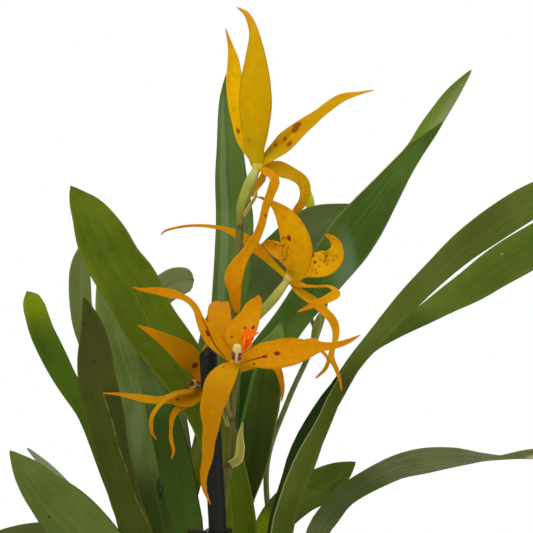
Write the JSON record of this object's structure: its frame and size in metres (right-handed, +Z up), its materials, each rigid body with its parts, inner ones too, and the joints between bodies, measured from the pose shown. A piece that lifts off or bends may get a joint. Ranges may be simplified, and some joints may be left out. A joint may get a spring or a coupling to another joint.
{
  "type": "potted brassia orchid",
  "caption": "Flowering spider orchid in a round tapered nursery pot, with strap leaves, pseudobulbs, a staked flower spike and a thinner budding spike.",
  "frame": {"origin": "centre of the pot's flat bottom, on the surface that it stands on", "axes": "+Z up, the longest way of the plant; -Y is the side that the blooms face"},
  "size_m": [0.2787, 0.1512, 0.4237],
  "materials": {
    "pot": "matte",
    "bark": "matte",
    "bulb": "satin",
    "leaf": "satin",
    "stem": "satin",
    "tepal": "matte",
    "lip": "matte",
    "column": "satin",
    "stake": "satin",
    "clip": "satin"
  },
  "bodies": {
    "root": {"pot": "pot", "bark": "bark", "bulb_front": "bulb", "bulb_left": "bulb", "bulb_right": "bulb", "bulb_back_left": "bulb", "bulb_back_right": "bulb", "leaf_front_broad": "leaf", "leaf_right_long": "leaf", "leaf_right_second": "leaf", "leaf_right_low": "leaf", "leaf_right_back_low": "leaf", "leaf_right_dark": "leaf", "leaf_right_tall": "leaf", "leaf_right_tall_behind": "leaf", "leaf_left_far": "leaf", "leaf_left_pointed": "leaf", "leaf_left_mid": "leaf", "leaf_left_inner": "leaf", "leaf_left_low": "leaf", "leaf_left_low_behind": "leaf", "leaf_left_corner": "leaf", "leaf_back_grey": "leaf", "leaf_back_round": "leaf", "leaf_back_upright": "leaf", "flower_spike": "stem", "back_spike": "stem", "bloom_top_tepals": "tepal", "bloom_top_lip": "lip", "bloom_top_column": "column", "bloom_right_tepals": "tepal", "bloom_right_lip": "lip", "bloom_right_column": "column", "bloom_front_tepals": "tepal", "bloom_front_lip": "lip", "bloom_front_column": "column", "bloom_left_tepals": "tepal", "bloom_left_lip": "lip", "bloom_left_column": "column", "stake": "stake", "clip": "clip"}
  },
  "joints": []
}
